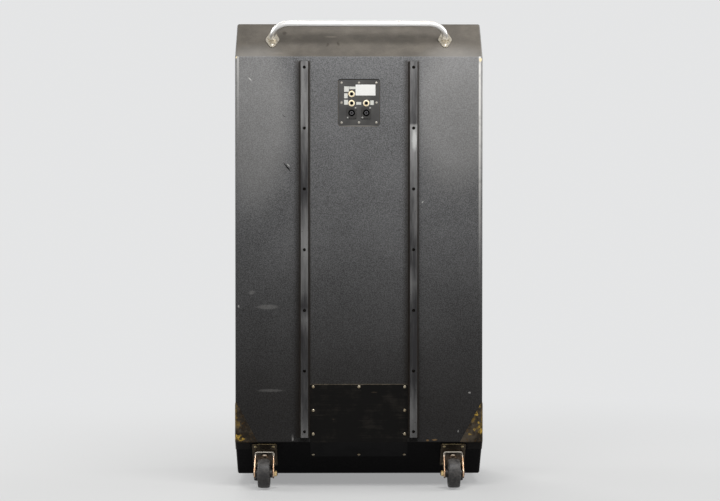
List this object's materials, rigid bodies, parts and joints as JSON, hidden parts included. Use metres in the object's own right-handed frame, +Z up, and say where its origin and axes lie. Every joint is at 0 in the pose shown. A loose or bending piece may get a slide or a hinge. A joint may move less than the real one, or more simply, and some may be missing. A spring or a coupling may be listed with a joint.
{
  "type": "loudspeaker cabinet",
  "caption": "Tall sealed bass loudspeaker cabinet with a bevelled back, skid rails, tilt handle, input plate, kick plate and fixed rear casters, covered in black vinyl.",
  "frame": {"origin": "on the floor, under the middle of the cabinet with its feet, rails, handle and casters", "axes": "+Z up, -Y towards the grille at the front, +Y towards the back with the rails and casters, +X to the left of someone who faces the back"},
  "size_m": [0.6624, 0.4532, 1.25],
  "materials": {
    "plywood": "satin",
    "wadding": "matte",
    "vinyl": "matte",
    "worn_steel": "satin",
    "grille_fabric": "matte",
    "black_fabric": "matte",
    "basket_steel": "satin",
    "motor_steel": "satin",
    "ferrite": "matte",
    "spider_cloth": "matte",
    "gasket_board": "matte",
    "cone_paper": "matte",
    "dark_steel": "satin",
    "terminal_board": "matte",
    "cable_jacket": "satin",
    "plate_steel": "satin",
    "black_plastic": "satin",
    "brass": "satin",
    "bright_steel": "satin",
    "label_paper": "matte",
    "rail_plastic": "satin",
    "kick_steel": "satin",
    "handle_chrome": "polished",
    "zinc_steel": "satin",
    "hub_plastic": "satin",
    "tyre_rubber": "matte",
    "foot_rubber": "matte"
  },
  "bodies": {
    "cabinet": {"left_side_panel": "plywood", "right_side_panel": "plywood", "top_panel": "plywood", "bottom_panel": "plywood", "back_panel": "plywood", "handle_bevel_panel": "plywood", "caster_bevel_panel": "plywood", "baffle_board": "plywood", "chamber_shelves": "plywood", "baffle_cleats": "plywood", "grille_frame": "plywood", "damping_pads": "wadding", "vinyl_covering": "vinyl", "corner_protectors": "worn_steel", "grille_cloth": "grille_fabric", "grille_fastener_pads": "black_fabric", "woofer_surrounds": "black_fabric", "woofer_baskets": "basket_steel", "woofer_front_plates": "motor_steel", "woofer_pole_pieces": "motor_steel", "woofer_magnets": "ferrite", "woofer_spiders": "spider_cloth", "woofer_gaskets": "gasket_board", "woofer_bolts": "dark_steel", "rail_screws": "dark_steel", "woofer_terminals": "terminal_board", "speaker_wiring": "cable_jacket", "input_plate": "plate_steel", "input_jacks": "black_plastic", "twist_lock_sockets": "black_plastic", "jack_nuts": "brass", "input_plate_screws": "bright_steel", "twist_lock_screws": "bright_steel", "kick_plate_screws": "bright_steel", "handle_screws": "bright_steel", "caster_screws": "bright_steel", "caster_axles": "bright_steel", "axle_nuts": "bright_steel", "foot_screws": "bright_steel", "blank_label": "label_paper", "skid_rail_left": "rail_plastic", "skid_rail_right": "rail_plastic", "kick_plate": "kick_steel", "handle_bar": "handle_chrome", "handle_flanges": "handle_chrome", "caster_plates": "zinc_steel", "caster_forks": "zinc_steel", "rubber_feet": "foot_rubber"},
    "wheel_left": {"caster_hub_left": "hub_plastic", "caster_tyre_left": "tyre_rubber"},
    "wheel_right": {"caster_hub_right": "hub_plastic", "caster_tyre_right": "tyre_rubber"},
    "cone_1": {"woofer_cone_1": "cone_paper"},
    "cone_2": {"woofer_cone_2": "cone_paper"},
    "cone_3": {"woofer_cone_3": "cone_paper"},
    "cone_4": {"woofer_cone_4": "cone_paper"},
    "cone_5": {"woofer_cone_5": "cone_paper"},
    "cone_6": {"woofer_cone_6": "cone_paper"},
    "cone_7": {"woofer_cone_7": "cone_paper"},
    "cone_8": {"woofer_cone_8": "cone_paper"}
  },
  "joints": [
    {"name": "wheel_left_spin", "type": "hinge", "parent": "cabinet", "child": "wheel_left", "pos_m": [0.253, 0.18862, 0.041], "axis": [1, 0, 0], "continuous": true},
    {"name": "wheel_right_spin", "type": "hinge", "parent": "cabinet", "child": "wheel_right", "pos_m": [-0.253, 0.18862, 0.041], "axis": [1, 0, 0], "continuous": true},
    {"name": "cone_1_stroke", "type": "slide", "parent": "cabinet", "child": "cone_1", "axis": [0, -1, 0], "range_m": [-0.004, 0.004], "stiffness_N_per_m": 4000, "deforming": ["woofer_surrounds", "woofer_spiders"]},
    {"name": "cone_2_stroke", "type": "slide", "parent": "cabinet", "child": "cone_2", "axis": [0, -1, 0], "range_m": [-0.004, 0.004], "stiffness_N_per_m": 4000, "deforming": ["woofer_surrounds", "woofer_spiders"]},
    {"name": "cone_3_stroke", "type": "slide", "parent": "cabinet", "child": "cone_3", "axis": [0, -1, 0], "range_m": [-0.004, 0.004], "stiffness_N_per_m": 4000, "deforming": ["woofer_surrounds", "woofer_spiders"]},
    {"name": "cone_4_stroke", "type": "slide", "parent": "cabinet", "child": "cone_4", "axis": [0, -1, 0], "range_m": [-0.004, 0.004], "stiffness_N_per_m": 4000, "deforming": ["woofer_surrounds", "woofer_spiders"]},
    {"name": "cone_5_stroke", "type": "slide", "parent": "cabinet", "child": "cone_5", "axis": [0, -1, 0], "range_m": [-0.004, 0.004], "stiffness_N_per_m": 4000, "deforming": ["woofer_surrounds", "woofer_spiders"]},
    {"name": "cone_6_stroke", "type": "slide", "parent": "cabinet", "child": "cone_6", "axis": [0, -1, 0], "range_m": [-0.004, 0.004], "stiffness_N_per_m": 4000, "deforming": ["woofer_surrounds", "woofer_spiders"]},
    {"name": "cone_7_stroke", "type": "slide", "parent": "cabinet", "child": "cone_7", "axis": [0, -1, 0], "range_m": [-0.004, 0.004], "stiffness_N_per_m": 4000, "deforming": ["woofer_surrounds", "woofer_spiders"]},
    {"name": "cone_8_stroke", "type": "slide", "parent": "cabinet", "child": "cone_8", "axis": [0, -1, 0], "range_m": [-0.004, 0.004], "stiffness_N_per_m": 4000, "deforming": ["woofer_surrounds", "woofer_spiders"]}
  ]
}
